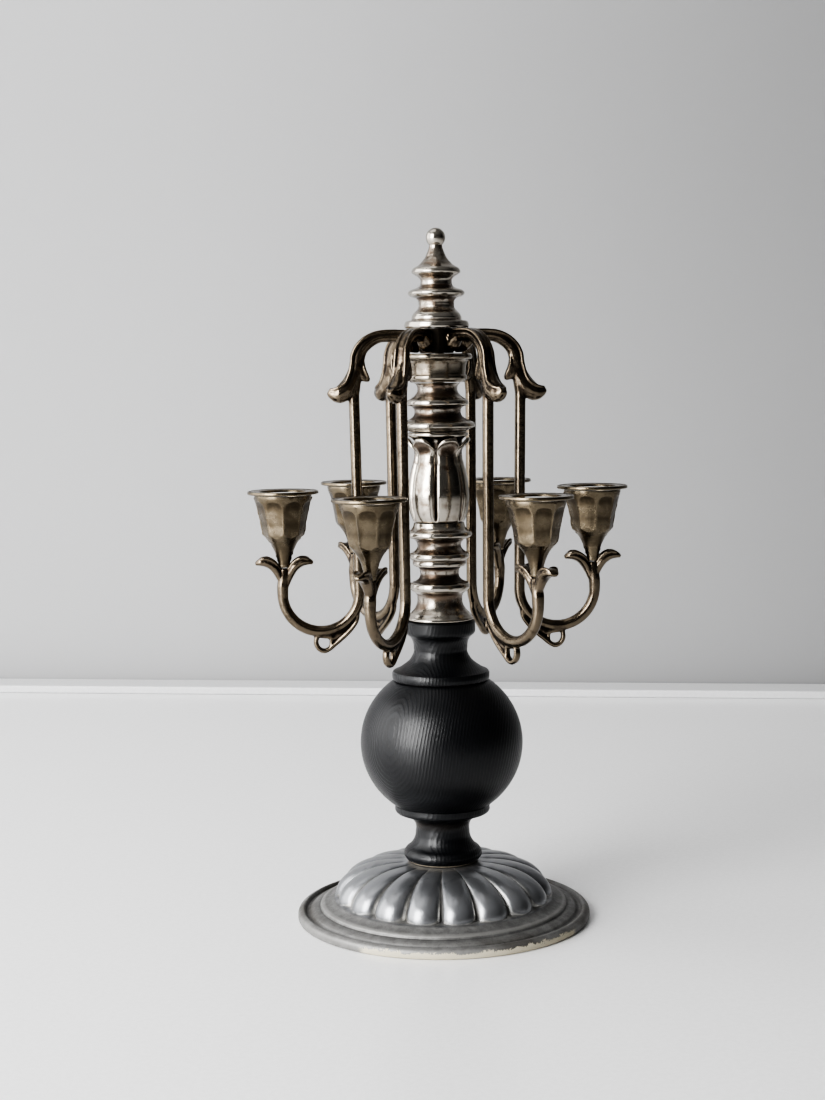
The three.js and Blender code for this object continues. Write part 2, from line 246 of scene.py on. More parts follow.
# %% [markdown]
# ## Node helpers
#
# A finish is a small network of shader nodes. These helpers add a node, set its sockets by name
# and link it, so that each finish below reads from top to bottom.

# %% Node helpers
def feed(tree, node, sockets):
    """Sets a node's inputs: another node's output is linked, and a colour gets its alpha."""
    for socket, value in sockets.items():
        if isinstance(value, bpy.types.NodeSocket):
            tree.links.new(value, node.inputs[socket])
        elif node.inputs[socket].type == "RGBA":
            node.inputs[socket].default_value = (*value, 1)
        else:
            node.inputs[socket].default_value = value


def add_node(tree, kind, sockets, **settings):
    made = tree.nodes.new("ShaderNode" + kind)
    for setting, value in settings.items():
        setattr(made, setting, value)
    feed(tree, made, sockets)
    return made


def math_node(tree, operation, *values, clamp=False):
    sockets = dict(enumerate(values))
    return add_node(tree, "Math", sockets, operation=operation, use_clamp=clamp).outputs[0]


def times(tree, first, *others, clamp=False):
    for other in others:
        first = math_node(tree, "MULTIPLY", first, other, clamp=clamp)
    return first


def plus(tree, first, *others, clamp=False):
    for other in others:
        first = math_node(tree, "ADD", first, other, clamp=clamp)
    return first


def minus(tree, first, second):
    return math_node(tree, "SUBTRACT", first, second)


def blend_colour(tree, share, low, high):
    return add_node(tree, "Mix", {0: share, 6: low, 7: high}, data_type="RGBA").outputs[2]


def coat(tree, colour, *coats):
    """Lays coats over a colour. Each is the share that it covers and its own colour."""
    for share, top in coats:
        colour = blend_colour(tree, share, colour, top)
    return colour


def blend_value(tree, share, low, high):
    return add_node(tree, "Mix", {0: share, 2: low, 3: high}, data_type="FLOAT").outputs[0]


def step_between(tree, value, low, high, start=0.0, end=1.0):
    """Rises smoothly from start to end as the value goes from low to high."""
    sockets = {"Value": value, "From Min": low, "From Max": high, "To Min": start, "To Max": end}
    return add_node(tree, "MapRange", sockets, interpolation_type="SMOOTHSTEP").outputs[0]


def noise_value(tree, place, scale, detail=3.0, roughness=0.55, distortion=0.0):
    sockets = {"Vector": place, "Scale": scale, "Detail": detail, "Roughness": roughness}
    sockets["Distortion"] = distortion
    return add_node(tree, "TexNoise", sockets).outputs["Fac"]


def scaled_place(tree, place, scale):
    return add_node(tree, "Mapping", {"Vector": place, "Scale": scale}).outputs[0]


def split_place(tree, place):
    """The outputs X, Y and Z, and the distance from the upright axis."""
    split = add_node(tree, "SeparateXYZ", {0: place}).outputs
    flat = add_node(tree, "CombineXYZ", {"X": split["X"], "Y": split["Y"]}).outputs[0]
    return split, add_node(tree, "VectorMath", {0: flat}, operation="LENGTH").outputs["Value"]


def attribute_value(tree, name):
    return add_node(tree, "Attribute", {}, attribute_name=name).outputs["Fac"]


def new_group(name, inputs, outputs):
    """An empty node group with these named sockets. Returns its tree, its inputs and its output node."""
    tree = bpy.data.node_groups.new(name, "ShaderNodeTree")
    kinds = {"value": "NodeSocketFloat", "colour": "NodeSocketColor", "vector": "NodeSocketVector"}
    for label, (kind, default) in inputs.items():
        socket = tree.interface.new_socket(label, in_out="INPUT", socket_type=kinds[kind])
        socket.default_value = (*default, 1) if kind == "colour" else default
    for label, kind in outputs.items():
        tree.interface.new_socket(label, in_out="OUTPUT", socket_type=kinds[kind])
    given = tree.nodes.new("NodeGroupInput").outputs
    result = tree.nodes.new("NodeGroupOutput").inputs
    return tree, given, result


def place_group(tree, group, sockets):
    return add_node(tree, "Group", sockets, node_tree=group).outputs


def new_material(name):
    """A material with its Principled shader. Returns both, with the object coordinates."""
    material = bpy.data.materials.new(name)
    material.use_nodes = True
    tree = material.node_tree
    shader = next(n for n in tree.nodes if n.type == "BSDF_PRINCIPLED")
    place = tree.nodes.new("ShaderNodeTexCoord").outputs["Object"]
    return material, tree, shader, place


def paint(piece, material):
    piece.data.materials.clear()
    piece.data.materials.append(material)


# %% [markdown]
# ## Two effects that the metals share
#
# `tarnish` mixes a clean metal, a thin brown tarnish and the black dirt of the hollows, and worn
# edges stay clean. `cast_skin` is the fine, slightly lumpy surface of a casting. They are node
# groups, so that the foot, the arms, the cups and the turnings each use them with other values.

# %% Tarnish group
def build_tarnish_group():
    inputs = {
        "Place": ("vector", (0, 0, 0)),
        "Clean": ("colour", (0.8, 0.8, 0.8)),
        "Tarnish": ("colour", (0.4, 0.3, 0.2)),
        "Dirt": ("colour", (0.02, 0.02, 0.02)),
        "Patch Scale": ("value", 120),
        "Tarnish Amount": ("value", 0.5),
        "Dirt Amount": ("value", 0.5),
        "Smooth": ("value", 0.15),
        "Rough": ("value", 0.4),
    }
    tree, given, result = new_group("tarnish", inputs, {"Color": "colour", "Roughness": "value"})
    relief = attribute_value(tree, "relief")
    patches = noise_value(tree, given["Place"], given["Patch Scale"], 4, 0.6, 0.6)
    specks = noise_value(tree, given["Place"], times(tree, given["Patch Scale"], 9), 2)
    hollow = step_between(tree, relief, 0.05, 0.75)
    edge = step_between(tree, times(tree, relief, -1), 0.12, 0.7)
    film = minus(tree, plus(tree, patches, times(tree, hollow, 0.25)), times(tree, edge, 0.2))
    film = times(tree, step_between(tree, film, 0.36, 0.68), given["Tarnish Amount"], clamp=True)
    dirt = times(tree, hollow, step_between(tree, specks, 0.25, 0.6, 0.55, 1), given["Dirt Amount"],
                 clamp=True)
    colour = coat(tree, given["Clean"], (film, given["Tarnish"]), (dirt, given["Dirt"]))
    wear = plus(tree, times(tree, film, 0.6), dirt, step_between(tree, specks, 0.5, 0.8, 0, 0.25),
                clamp=True)
    gloss = blend_value(tree, wear, given["Smooth"], given["Rough"])
    tree.links.new(colour, result["Color"])
    tree.links.new(gloss, result["Roughness"])
    return tree


tarnish_group = build_tarnish_group()
print("node group:", tarnish_group.name)


# %% Cast skin group
def build_cast_skin_group():
    inputs = {
        "Place": ("vector", (0, 0, 0)),
        "Lump Scale": ("value", 300),
        "Grain Scale": ("value", 2400),
        "Grain Share": ("value", 0.3),
    }
    tree, given, result = new_group("cast_skin", inputs, {"Height": "value"})
    lumps = noise_value(tree, given["Place"], given["Lump Scale"], 3)
    grain = noise_value(tree, given["Place"], given["Grain Scale"], 2)
    pits = add_node(tree, "TexVoronoi", {"Vector": given["Place"], "Scale": given["Grain Scale"]})
    pits = step_between(tree, pits.outputs["Distance"], 0.0, 0.35)
    grain = times(tree, plus(tree, grain, pits), 0.5)
    tree.links.new(blend_value(tree, given["Grain Share"], lumps, grain), result["Height"])
    return tree


cast_skin_group = build_cast_skin_group()
print("node group:", cast_skin_group.name)


def cast_skin(tree, place, lump, grain, share):
    sockets = {"Place": place, "Lump Scale": lump, "Grain Scale": grain, "Grain Share": share}
    return place_group(tree, cast_skin_group, sockets)["Height"]


def bump_normal(tree, height, depth, strength=1.0):
    """A bump with this depth in millimetres."""
    sockets = {"Height": height, "Strength": strength, "Distance": depth * MM}
    return add_node(tree, "Bump", sockets).outputs["Normal"]


# %% [markdown]
# ## The metal finishes
#
# One function builds them all: the tarnish group drives colour and roughness, and the cast skin
# drives a bump. The turnings are bright plate, the collar under the arms a duller one, the arms an
# older and browner nickel, and the cups a softer olive brown. The sleeve at the hub is nearly black
# with grime and painted shade, and the hardware is plain steel.

# %% Metal finishes
def tarnished(tree, place, clean, tarnish, dirt, patches, amounts, gloss):
    """amounts are the shares of tarnish and dirt, and gloss the roughness of clean and worn metal."""
    return place_group(tree, tarnish_group, {
        "Place": place, "Clean": clean, "Tarnish": tarnish, "Dirt": dirt, "Patch Scale": patches,
        "Tarnish Amount": amounts[0], "Dirt Amount": amounts[1], "Smooth": gloss[0], "Rough": gloss[1],
    })


def metal_finish(name, clean, tarnish, dirt, patches, amounts, gloss, skin, depth):
    """skin is the scale of the lumps, the scale of the grain and the grain's share of the bump."""
    material, tree, shader, place = new_material(name)
    worn = tarnished(tree, place, clean, tarnish, dirt, patches, amounts, gloss)
    normal = bump_normal(tree, cast_skin(tree, place, *skin), depth)
    sockets = {"Base Color": worn["Color"], "Roughness": worn["Roughness"], "Normal": normal}
    feed(tree, shader, sockets)
    shader.inputs["Metallic"].default_value = 1.0
    print("finish:", name)
    return material


bright_plate = metal_finish(
    "bright_plate", (0.40, 0.37, 0.325), (0.135, 0.095, 0.067), (0.016, 0.011, 0.008),
    150, (0.9, 0.9), (0.18, 0.38), (160, 1500, 0.2), 0.12)
arm_nickel = metal_finish(
    "arm_nickel", (0.14, 0.114, 0.084), (0.028, 0.021, 0.016), (0.005, 0.004, 0.0035),
    210, (0.95, 0.9), (0.18, 0.34), (330, 2200, 0.25), 0.16)
cup_nickel = metal_finish(
    "cup_nickel", (0.15, 0.124, 0.088), (0.075, 0.058, 0.038), (0.018, 0.014, 0.010),
    110, (0.75, 0.5), (0.24, 0.40), (420, 2400, 0.35), 0.16)
collar_plate = metal_finish(
    "collar_plate", (0.25, 0.222, 0.182), (0.095, 0.072, 0.050), (0.014, 0.010, 0.008),
    150, (0.9, 0.9), (0.20, 0.40), (160, 1500, 0.2), 0.12)
# The hub sleeve's near-black colour is grime together with painted shade between the arm roots.
hub_grime_and_shade = metal_finish(
    "hub_grime_and_shade", (0.06, 0.05, 0.04), (0.02, 0.016, 0.012), (0.006, 0.005, 0.004),
    200, (0.9, 0.9), (0.4, 0.6), (330, 2200, 0.3), 0.16)
plain_steel = metal_finish(
    "plain_steel", (0.35, 0.35, 0.34), (0.16, 0.13, 0.10), (0.03, 0.025, 0.02),
    300, (0.5, 0.6), (0.3, 0.5), (500, 2600, 0.4), 0.05)

# %% [markdown]
# ## The foot's own finish
#
# The dome of the foot is burnished grey pewter. Its flange and rim were never polished, so they are
# rough and mottled, with edges lightened by wear and by a painted highlight. The lines between the
# lobes carry a painted highlight, the groove inside the rim is brown with dirt, and the bottom edge
# has lost its plating in a chipped, cream band towards the front.

# %% Foot finish
DOME_REACH = 0.0488
CHIP_HEIGHT = 0.0030


def build_foot_pewter():
    material, tree, shader, place = new_material("foot_pewter")
    split, radius = split_place(tree, place)
    flange = step_between(tree, radius, DOME_REACH - 0.0006, DOME_REACH + 0.0006)
    relief = attribute_value(tree, "relief")
    hollow = step_between(tree, relief, 0.1, 0.8)
    mottle = noise_value(tree, place, 230, 4, 0.65, 0.4)
    fine = noise_value(tree, place, 1500, 2)
    dome = tarnished(tree, place, (0.26, 0.265, 0.275), (0.13, 0.133, 0.139), (0.05, 0.05, 0.05),
                     105, (0.75, 0.1), (0.28, 0.42))
    pebbles = blend_colour(tree, step_between(tree, mottle, 0.3, 0.7), (0.110, 0.109, 0.106),
                           (0.178, 0.177, 0.172))
    pits = step_between(tree, fine, 0.56, 0.7, 0, 0.4)
    # Lighter flange edges: partly wear, partly a painted highlight along the edges.
    worn_and_highlit_edge = step_between(tree, relief, -0.2, -0.7, 0, 0.4)
    stain = step_between(tree, noise_value(tree, place, 42, 3), 0.45, 0.65, 0, 0.55)
    stain = times(tree, stain, step_between(tree, radius, 0.0555, 0.0600))
    groove = times(tree, hollow, step_between(tree, radius, 0.0570, 0.0590))
    dull = coat(tree, pebbles, (pits, (0.05, 0.046, 0.042)), (worn_and_highlit_edge, (0.32, 0.315, 0.30)),
                (stain, (0.05, 0.042, 0.034)), (times(tree, hollow, 0.5), (0.035, 0.033, 0.031)),
                (groove, (0.018, 0.014, 0.011)))
    # Painted highlight along the valleys between the lobes, where a narrow fillet would catch the light.
    painted_valley_highlight = times(tree, hollow, step_between(tree, radius, 0.0490, 0.0480),
                      step_between(tree, mottle, 0.3, 0.6, 0.3, 0.9))
    chips = plus(tree, mottle, times(tree, fine, 0.5))
    low = plus(tree, split["Z"], times(tree, minus(tree, chips, 0.75), 0.0052))
    cream = times(tree, step_between(tree, low, CHIP_HEIGHT, CHIP_HEIGHT - 0.0003),
                  step_between(tree, attribute_value(tree, "chipped"), 0.35, 0.65),
                  step_between(tree, radius, 0.0640, 0.0645))
    colour = coat(tree, dome["Color"], (flange, dull), (painted_valley_highlight, (0.36, 0.355, 0.34)),
                  (cream, (0.50, 0.46, 0.36)))
    rough = plus(tree, blend_value(tree, flange, dome["Roughness"], 0.5), times(tree, cream, 0.3))
    metallic = minus(tree, blend_value(tree, flange, 0.82, 0.5), times(tree, cream, 0.4))
    height = times(tree, cast_skin(tree, place, 260, 1700, 0.4), blend_value(tree, flange, 0.35, 1.5))
    sockets = {"Base Color": colour, "Roughness": rough, "Metallic": metallic}
    feed(tree, shader, {**sockets, "Normal": bump_normal(tree, height, 0.2)})
    print("finish:", material.name)
    return material


foot_pewter = build_foot_pewter()

# %% [markdown]
# ## Black-stained wood
#
# The stem is one turning from a block whose heart ran just outside the ball, so its growth rings
# meet the ball as nested tall ovals on the side that faced the heart and as upright lines round
# from it. The rings are cylinders round a leaning axis, bent a little by noise. The stain sinks in
# more between the rings, so the harder late wood stands up and shines. Brown dust lies in the
# corners under the rings, and a hair of bare wood shows where the stem meets the foot.

# %% Wood finish
HEART_TURN = math.radians(-45)
HEART_DISTANCE = 0.042
HEART_LEAN = math.radians(15)
HEART_HEIGHT = 0.079
RING_SPACING = 0.0014
BARE_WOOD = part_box("wood_stem")[0].z + 0.0005


def build_wood():
    """The rings, the pores between them, dust in the corners and bare wood at the bottom."""
    material, tree, shader, place = new_material("black_wood")
    leaned = place
    for move in (
        {"Location": (0, 0, -HEART_HEIGHT)},
        {"Rotation": (0, 0, -HEART_TURN)},
        {"Rotation": (HEART_LEAN, 0, 0), "Location": (0, HEART_DISTANCE, 0)},
    ):
        leaned = add_node(tree, "Mapping", {"Vector": leaned, **move}).outputs[0]
    radius = split_place(tree, leaned)[1]
    drawn = scaled_place(tree, place, (1, 1, 0.3))
    sway = times(tree, noise_value(tree, drawn, 38, 2), 0.0035)
    fine_sway = times(tree, noise_value(tree, drawn, 240, 2), 0.0005)
    rings = plus(tree, radius, sway, fine_sway)
    rings = math_node(tree, "FRACT", math_node(tree, "DIVIDE", rings, RING_SPACING))
    late = times(tree, step_between(tree, rings, 0.25, 0.75), step_between(tree, rings, 0.8, 1.0, 1, 0))
    streaks = scaled_place(tree, place, (1, 1, 0.06))
    pores = times(tree, step_between(tree, noise_value(tree, streaks, 2100, 2), 0.5, 0.66),
                  step_between(tree, late, 0.7, 0.1))
    cloud = noise_value(tree, place, 35, 3)
    hollow = step_between(tree, attribute_value(tree, "relief"), 0.55, 0.98)
    dust = times(tree, hollow, step_between(tree, cloud, 0.4, 0.6, 0.25, 0.8))
    bare = step_between(tree, split_place(tree, place)[0]["Z"], BARE_WOOD + 0.0004, BARE_WOOD)
    stained = blend_colour(tree, late, (0.0016, 0.0019, 0.0027), (0.0050, 0.0055, 0.0068))
    colour = coat(tree, stained, (times(tree, pores, 0.6), (0.003, 0.003, 0.003)),
                  (dust, (0.060, 0.048, 0.036)), (bare, (0.30, 0.26, 0.20)))
    rough = plus(tree, blend_value(tree, late, 0.33, 0.25), times(tree, cloud, 0.12))
    height = minus(tree, late, times(tree, pores, 0.7))
    normal = bump_normal(tree, height, 0.055, 0.7)
    feed(tree, shader, {"Base Color": colour, "Roughness": rough, "Normal": normal})
    shader.inputs["Specular IOR Level"].default_value = 0.38
    print("finish:", material.name)
    return material


black_wood = build_wood()

# %% [markdown]
# ## Where each piece starts
#
# The stack's heights come from the CAD nodes, so a piece is drawn from its own base and lifted to it.

# %% Heights from the frame
BORE = 3.3


def base_of(node):
    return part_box(node)[0].z / MM


def height_of(node):
    low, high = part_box(node)
    return (high.z - low.z) / MM


def settle(piece, body, material, slot, *nodes):
    """The piece rides on its body, gets its finish and stands for its CAD nodes."""
    paint(piece, material)
    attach(piece, body)
    if nodes:
        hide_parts(*nodes)


print({name: round(base_of(name), 1) for name in ("wood_stem", "lower_spindle", "finial")})

# %% [markdown]
# ## The wood stem
#
# One turning, from the ring that stands on the foot up through the ball to the neck under the
# metal. The ball is a little wider than it is tall, so its outline is an ellipse.

# %% Wood stem
BALL_RADIUS = 36.1
BALL_HALF_HEIGHT = 34.4
BALL_CENTRE = 53.4


def ball_outline(low_radius, high_radius, steps=44):
    low = -math.acos(low_radius / BALL_RADIUS)
    high = math.acos(high_radius / BALL_RADIUS)
    angles = [low + (high - low) * i / steps for i in range(steps + 1)]
    return [(BALL_RADIUS * math.cos(a), BALL_CENTRE + BALL_HALF_HEIGHT * math.sin(a)) for a in angles]


def make_stem():
    top = height_of("wood_stem")
    outline = [
        (BORE, 0), (15.4, 0), ((17.4, 2.6), (16.9, 4.8)), ((16.2, 5.7), (15.3, 6.3)),
        ((12.9, 9.4), (12.1, 13.0)), ((12.4, 17.2), (15.2, 19.9)), ((17.6, 21.0), (20.4, 22.0)),
        ((21.1, 22.8), (21.2, 24.0)), (21.2, 25.3), (20.8, 25.9),
        *ball_outline(21.3, 21.2),
        (20.6, 81.4), (21.3, 81.8), (21.6, 82.6), (21.6, 84.6), (21.1, 85.5), (19.6, 86.1),
        ((16.4, 88.1), (13.9, 90.2)), ((12.1, 93.3), (11.95, 95.6)), ((12.5, 99.2), (14.4, 101.5)),
        ((15.2, 102.4), (15.5, 103.6)), (15.5, top - 0.6), (15.1, top), (BORE, top), (BORE, 0),
    ]
    piece = turn("turned_wood_stem", outline, base_of("wood_stem"), 128, bevel=0)
    smooth_shading(piece, 30)
    return piece


stem = make_stem()
mark_relief(stem, rounds=4, reach=0.14)
settle(stem, "root", black_wood, "black_wood", "wood_stem")

# %% [markdown]
# ## The lobed foot
#
# The foot is a hollow casting: a round rim, a groove, a step and a flange, and a dome of eighteen
# lobes like fingers that run in under the stem. The outline over a lobe's crest is spun all the way
# round. The lobes need a shape that no single operator gives, so a short formula then moves each
# point of the dome between the crest and a lower valley line, rounding each lobe like a finger.

# %% Foot
LOBES = 18
PLATEAU = 16.6
FOOT_TOP = height_of("foot")
FOOT_TURN = math.radians(-7.3)
CREST = {"edge": 48.4, "low": 9.6, "top": FOOT_TOP - 0.2, "fall": 1.0}
VALLEY = {"edge": 43.6, "low": 9.9, "top": FOOT_TOP - 0.6, "fall": 1.32}
DOME_ROWS = 44
DOME_BULGE = 1.2


def dome_point(angle, line):
    radius = PLATEAU + (line["edge"] - PLATEAU) * math.sin(angle) ** (1 / DOME_BULGE)
    height = line["low"] + (line["top"] - line["low"]) * max(math.cos(angle), 0) ** line["fall"]
    return radius, height


def foot_outline():
    wall = 2.2
    angles = [math.pi / 2 * (1 - row / DOME_ROWS) for row in range(DOME_ROWS + 1)]
    under = [dome_point(angle, VALLEY) for angle in reversed(angles[::4])]
    return [
        (61.6, 0), (64.3, 0), (65.0, 0.3), (65.3, 0.9), (65.3, 1.9), ((65.0, 3.3), (63.9, 4.25)),
        ((62.8, 4.6), (61.9, 4.0)), ((61.5, 3.35), (60.9, 3.2)), ((60.1, 3.4), (59.3, 4.2)),
        ((57.6, 5.1), (55.6, 5.55)), (55.3, 5.65), (54.9, 6.6), (54.5, 6.95), (53.4, 7.25),
        ((51.2, 7.9), (49.4, 8.9)),
        *[dome_point(angle, CREST) for angle in angles],
        (15.9, FOOT_TOP), (14, FOOT_TOP - 0.1), (BORE, FOOT_TOP - 0.1), (BORE, FOOT_TOP - wall - 0.4),
        (PLATEAU - 2, FOOT_TOP - wall - 0.5),
        *[(r - wall, z - wall * 0.9) for r, z in under[1:]],
        (45.5, 6.4), (52.0, 4.2), (58.5, 1.8), (61.6, 0),
    ]


def press_lobe(azimuth, radius, height):
    """Moves a point of the dome in towards the valley line, most where two lobes meet."""
    share = (radius - PLATEAU) / (CREST["edge"] - PLATEAU)
    if not 0 < share <= 1.0001:
        return None
    angle = math.asin(min(share, 1.0) ** DOME_BULGE)
    crest = dome_point(angle, CREST)
    if abs(crest[1] - height) > 0.05:
        return None
    rise = max(0.0, 1 - off_middle(azimuth, LOBES) ** 2.1) ** 0.62
    return tuple(v + (c - v) * rise for c, v in zip(crest, dome_point(angle, VALLEY)))


def mark_azimuth_band(piece, name, low, high):
    """Marks with 1 the points whose azimuth in degrees from the front lies between low and high."""
    values = []
    for vertex in piece.data.vertices:
        azimuth = math.degrees(math.atan2(vertex.co.x, -vertex.co.y))
        inside = min(azimuth - low, high - azimuth) / 12
        values.append(max(0.0, min(1.0, inside)))
    piece.data.attributes.new(name, "FLOAT", "POINT").data.foreach_set("value", values)


def make_foot():
    piece = turn("cast_foot", foot_outline(), 0, columns=LOBES * 18, bevel=0)
    reshape(piece, 0, press_lobe)
    turn_upright(piece, FOOT_TURN)
    mark_relief(piece, rounds=20, reach=0.5)
    mark_azimuth_band(piece, "chipped", -44, 60)
    smooth_shading(piece, 38)
    return piece


foot = make_foot()
settle(foot, "root", foot_pewter, "foot_pewter", "foot")

# %% [markdown]
# ## The plated turnings
#
# The two spindles, the collar and the finial are turnings: rounded rings with scooped necks
# between them. Each outline goes up the outside and closes down the bore.

# %% Spindles, collar and finial
LOWER_TOP = height_of("lower_spindle")
UPPER_TOP = height_of("upper_spindle")
COLLAR_TOP = height_of("arm_collar")
FINIAL_BALL = 4.25
FINIAL_BALL_CENTRE = height_of("finial") - FINIAL_BALL

LOWER_OUTLINE = [
    (BORE, 0), (14.2, 0), ((14.7, 0.9), (14.0, 1.9)), ((13.6, 2.4), (13.0, 3.2)),
    ((10.6, 6.2), (9.9, 9.4)), ((10.3, 11.6), (12.0, 12.9)), ((13.2, 14.4), (13.1, 15.9)),
    ((12.7, 16.6), (11.6, 16.9)), ((9.0, 18.8), (8.6, 21.3)), ((9.3, 23.4), (11.2, 24.1)),
    ((11.8, 25.2), (11.5, 26.4)), (12.0, 26.7), ((13.1, 27.9), (13.0, 29.0)),
    ((12.7, 29.7), (11.9, 30.1)), ((10.0, 31.8), (9.6, 33.6)), ((10.6, 35.4), (12.8, 36.4)),
    ((14.4, 37.4), (14.5, 38.4)), ((14.1, 39.3), (13.2, 39.7)), ((11.7, 41.0), (11.1, LOWER_TOP)),
    (BORE, LOWER_TOP), (BORE, 0),
]
UPPER_OUTLINE = [
    (BORE, 0), (12.6, 0), ((13.6, 0.6), (14.4, 1.2)), ((16.1, 1.9), (16.2, 2.8)),
    ((15.7, 3.8), (14.2, 4.6)), ((11.0, 6.4), (10.2, 8.7)), ((10.7, 10.3), (12.4, 11.1)),
    ((13.5, 11.8), (13.6, 12.7)), ((13.2, 13.6), (12.2, 14.2)), ((9.6, 16.2), (8.75, 18.3)),
    ((9.0, 19.9), (10.2, UPPER_TOP)), (BORE, UPPER_TOP), (BORE, 0),
]
COLLAR_OUTLINE = [
    (BORE, 0), (11.7, 0), ((12.1, 0.5), (12.6, 0.9)), ((13.1, 1.8), (12.9, 2.9)), (12.4, 3.4),
    ((12.5, 5.8), (12.8, 7.6)), ((13.3, 9.1), (14.6, 9.9)), ((15.4, 10.7), (15.2, 11.8)),
    (14.7, COLLAR_TOP), (BORE, COLLAR_TOP), (BORE, 0),
]
FINIAL_OUTLINE = [
    (0, 15), (BORE, 15), (BORE, 0), (14.0, 0), ((14.2, 0.9), (14.0, 1.7)), ((13.6, 2.7), (12.7, 3.1)),
    (11.2, 3.4), (10.85, 3.8), ((10.9, 4.6), (10.6, 5.3)), ((10.0, 6.4), (9.0, 7.3)),
    ((7.9, 8.9), (7.8, 10.3)), ((8.1, 12.1), (9.4, 13.1)), ((11.3, 13.6), (12.1, 14.3)),
    ((12.4, 15.0), (12.1, 15.7)), ((11.2, 16.4), (9.6, 16.9)), ((7.5, 18.0), (6.9, 19.4)),
    ((6.9, 20.8), (7.8, 22.0)), ((8.8, 22.6), (9.8, 23.1)), ((10.6, 23.9), (10.5, 24.8)),
    ((10.1, 25.6), (9.3, 26.2)), ((7.6, 27.2), (6.4, 28.4)), ((5.0, 30.0), (4.2, 31.6)),
    ((3.5, 33.2), (3.0, 34.5)), (2.85, FINIAL_BALL_CENTRE - 3.3),
]


def finial_ball(start=-0.86, steps=14):
    """The ball's outline from the neck up to its top."""
    angles = [start + (math.pi / 2 - start) * i / steps for i in range(steps + 1)]
    return [(max(FINIAL_BALL * math.cos(a), 0), FINIAL_BALL_CENTRE + FINIAL_BALL * math.sin(a))
            for a in angles]


for name, outline, body, node, finish in (
    ("lower_plated_spindle", LOWER_OUTLINE, "root", "lower_spindle", bright_plate),
    ("upper_plated_spindle", UPPER_OUTLINE, "root", "upper_spindle", bright_plate),
    ("plated_arm_collar", COLLAR_OUTLINE, "root", "arm_collar", collar_plate),
    ("plated_finial", FINIAL_OUTLINE + finial_ball(), "finial", "finial", bright_plate),
):
    turning = turn(name, outline, base_of(node))
    mark_relief(turning)
    smooth_shading(turning, 35)
    settle(turning, body, finish, "bright_plate", node)

# %% [markdown]
# ## The leaf baluster
#
# Six leaves stand round the middle of the stem like the petals of a closed tulip. Their faces are
# smooth swells whose margins roll in to a narrow groove, and their tips curl outwards with a notch
# between each two, so that the plain neck shows behind. The neck and the shell of leaves are turned
# one inside the other. Then each point of the shell is moved by how far round its leaf it lies.

# %% Leaf baluster
LEAVES = 6
BALUSTER_TURN = math.radians(-12)
MARGIN = 0.70
GROOVE_DEPTH = 1.5
GROOVE_END = 33.0
TIP_START = 26.0
TIP_END = 37.0
NOTCH_DEPTH = 5.4
WAIST = 10.6
INSIDE_SHELL = 9.8


def shape_leaf(azimuth, radius, height):
    """Where a point of the leaf shell goes: in at the groove between two leaves, down at the notch."""
    if radius < INSIDE_SHELL or height < 0.05:
        return None
    across = off_middle(azimuth, LEAVES)
    margin = max(0.0, (across - MARGIN) / (1 - MARGIN))
    fade = min(1.0, height / 3) * min(1.0, max(0.0, (GROOVE_END - height) / 6))
    radius -= (GROOVE_DEPTH * margin ** 2 + 0.25 * across ** 2) * fade
    if height > TIP_START:
        share = (height - TIP_START) / (TIP_END - TIP_START)
        notch = across ** 2.4
        height = TIP_START + share * (TIP_END - TIP_START - NOTCH_DEPTH * notch)
        radius = WAIST + (radius - WAIST) * (1 - 0.75 * notch) - 0.3 * notch - 1.9 * notch ** 4
    return radius, height


def make_baluster():
    top = height_of("leaf_baluster")
    base = base_of("leaf_baluster")
    neck = turn("leaf_neck", [
        (BORE, 18), (9.0, 18), ((8.9, 24), (8.9, 29.0)), ((9.2, 33.0), (10.4, 35.4)),
        ((11.3, 36.6), (12.5, 37.4)), ((13.2, 38.0), (13.3, 38.6)), ((13.1, 39.1), (12.7, top)),
        (BORE, top), (BORE, 18),
    ], base, columns=96, bevel=0)
    shell = turn("leaf_shell", [
        (BORE, 0), (10.6, 0), ((11.2, 0.5), (11.7, 1.4)), ((12.8, 4.6), (13.35, 8.2)),
        ((13.65, 11.4), (13.4, 14.6)), ((12.8, 19.4), (11.7, 24.0)), ((10.9, 27.0), (10.55, 29.2)),
        ((10.55, 31.4), (11.6, 33.4)), ((12.6, 34.5), (13.5, 35.1)), ((14.15, 35.7), (14.1, 36.4)),
        ((13.7, 37.0), (13.0, 36.9)), ((11.9, 35.9), (10.9, 34.4)), ((9.7, 32.0), (9.3, 29.5)),
        (BORE, 29.5), (BORE, 0),
    ], base, columns=LEAVES * 44, bevel=0)
    reshape(shell, base, shape_leaf)
    activate(shell)
    neck.select_set(True)
    bpy.ops.object.join()
    piece = name_new_piece("leaf_baluster_casting")
    turn_upright(piece, BALUSTER_TURN)
    mark_relief(piece, rounds=18, reach=0.3)
    smooth_shading(piece, 50)
    return piece


baluster = make_baluster()
settle(baluster, "root", bright_plate, "bright_plate", "leaf_baluster")

# %% [markdown]
# ## One cast arm
#
# An arm is a single casting: a root block at the hub, a bar that arches over and ends in an outer
# leaf and an inner barb, a long straight rod, a round hook with a small eye loop under it, and two
# leaves that hold the candle cup. Each stretch is grown like clay: a ring is extruded along a
# path, turned with it and resized. The stretches are then joined and remeshed into one skin, which
# gives the soft inner corners of a real casting.

